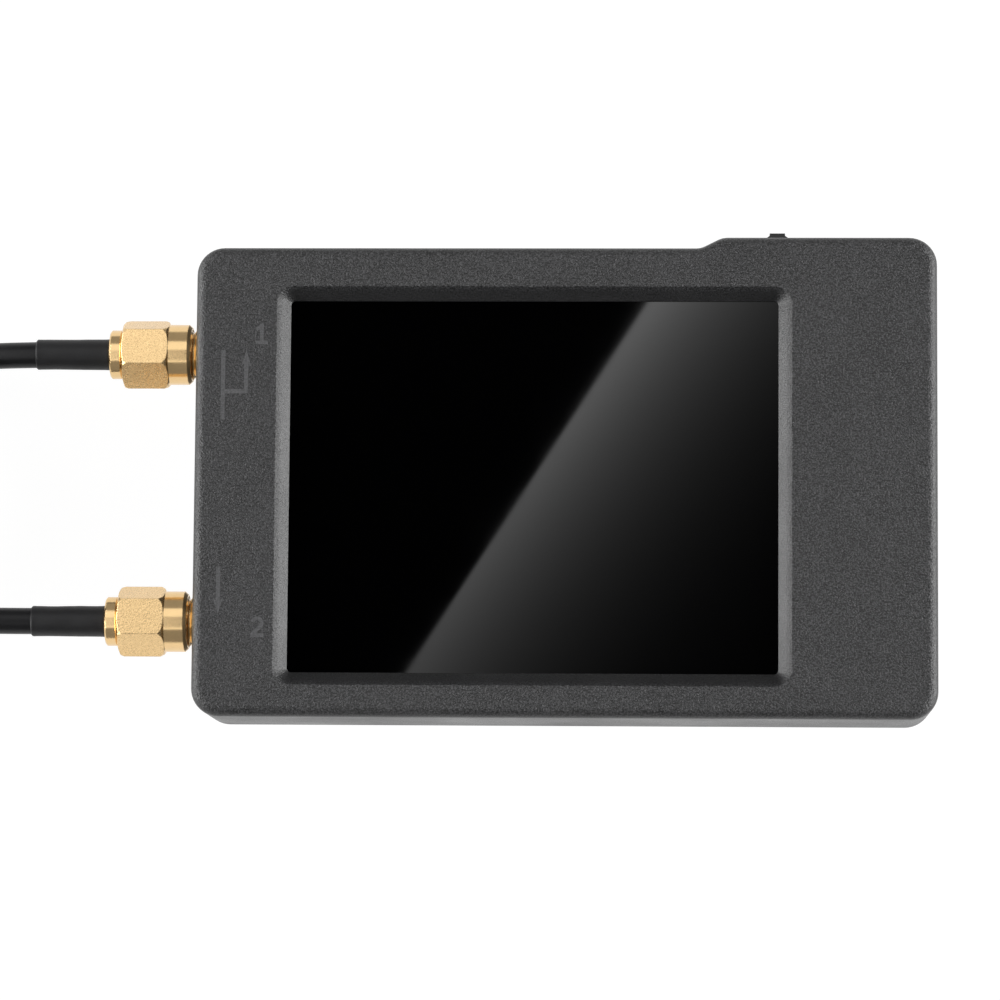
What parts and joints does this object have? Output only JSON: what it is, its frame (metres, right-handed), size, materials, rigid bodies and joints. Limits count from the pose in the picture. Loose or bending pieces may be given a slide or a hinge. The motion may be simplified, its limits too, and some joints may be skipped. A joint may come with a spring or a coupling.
{
  "type": "antenna analyzer",
  "caption": "Pocket antenna analyzer: flat dark case with a bevelled touch screen, two coaxial ports with screwed-on cables, and a jog lever, data socket and slide switch on its top edge.",
  "frame": {"origin": "middle of the flat rear face of the case, which the object lies on", "axes": "+X along the screen's long side, away from the ports; +Y towards the edge with the jog lever; +Z out of the screen"},
  "size_m": [0.2063, 0.0639, 0.018],
  "materials": {
    "case": "satin",
    "glass_black": "polished",
    "display_cell": "polished",
    "backlight": "satin",
    "gasket": "matte",
    "flex": "satin",
    "board": "gloss",
    "chip": "matte",
    "nylon": "satin",
    "steel": "satin",
    "gold": "polished",
    "ptfe": "satin",
    "pouch": "satin",
    "tape": "matte",
    "wire_red": "satin",
    "wire_black": "satin",
    "boot": "satin",
    "jacket": "satin",
    "tie": "satin",
    "lamp": "gloss",
    "ceramic": "matte",
    "knob": "satin"
  },
  "bodies": {
    "case": {"front_cover": "case", "rear_cover": "case", "case_screws": "steel", "touch_panel": "glass_black", "display_gasket": "gasket", "display_glass": "display_cell", "display_frame": "backlight", "display_flex": "flex", "flex_socket": "nylon", "main_board": "board", "rf_shields": "steel", "processor_chip": "chip", "small_chips": "chip", "crystal_cans": "steel", "passives": "ceramic", "status_lamps": "lamp", "battery_pouch": "pouch", "battery_tape": "tape", "battery_plug": "nylon", "battery_socket": "nylon", "battery_lead_red": "wire_red", "battery_lead_black": "wire_black", "port_1_jack": "gold", "port_2_jack": "gold", "jack_insulators": "ptfe", "jack_contacts": "gold", "jog_frame": "steel", "usb_shell": "steel", "usb_tongue": "chip", "slide_switch_frame": "steel", "near_plug_1": "gold", "near_boot_1": "boot", "near_plug_2": "gold", "near_boot_2": "boot", "near_pins": "gold", "near_insulators": "ptfe", "near_snap_rings": "steel", "far_plug_1": "gold", "far_boot_1": "boot", "far_plug_2": "gold", "far_boot_2": "boot", "far_pins": "gold", "far_insulators": "ptfe", "far_snap_rings": "steel", "lead_1": "jacket", "coil_1": "jacket", "tail_1": "jacket", "tie_1": "tie", "lead_2": "jacket", "coil_2": "jacket", "tail_2": "jacket", "tie_2": "tie"},
    "near_nut_1": {"near_nut_1": "gold"},
    "near_nut_2": {"near_nut_2": "gold"},
    "far_nut_1": {"far_nut_1": "gold"},
    "far_nut_2": {"far_nut_2": "gold"},
    "power_knob": {"power_knob": "knob"},
    "jog_plunger": {"jog_plunger": "knob"},
    "jog_lever": {"jog_lever": "knob"}
  },
  "joints": [
    {"name": "near_nut_1_spin", "type": "hinge", "parent": "case", "child": "near_nut_1", "pos_m": [-0.04777, 0.01755, 0.009], "axis": [1, 0, 0], "continuous": true},
    {"name": "near_nut_2_spin", "type": "hinge", "parent": "case", "child": "near_nut_2", "pos_m": [-0.04777, -0.01755, 0.009], "axis": [1, 0, 0], "continuous": true},
    {"name": "far_nut_1_spin", "type": "hinge", "parent": "case", "child": "far_nut_1", "pos_m": [-0.14933, 0.0179, 0.00472], "axis": [1, 0, 0], "continuous": true},
    {"name": "far_nut_2_spin", "type": "hinge", "parent": "case", "child": "far_nut_2", "pos_m": [-0.15982, -0.0182, 0.00472], "axis": [1, 0, 0], "continuous": true},
    {"name": "power_slide", "type": "slide", "parent": "case", "child": "power_knob", "axis": [1, 0, 0], "range_m": [0, 0.002]},
    {"name": "jog_press", "type": "slide", "parent": "case", "child": "jog_plunger", "axis": [0, -1, 0], "range_m": [0, 0.0003], "stiffness_N_per_m": 4000},
    {"name": "jog_swing", "type": "hinge", "parent": "jog_plunger", "child": "jog_lever", "pos_m": [0.02738, 0.02677, 0.00983], "axis": [0, 0, 1], "range_deg": [-12, 12], "stiffness_Nm_per_rad": 0.02}
  ]
}
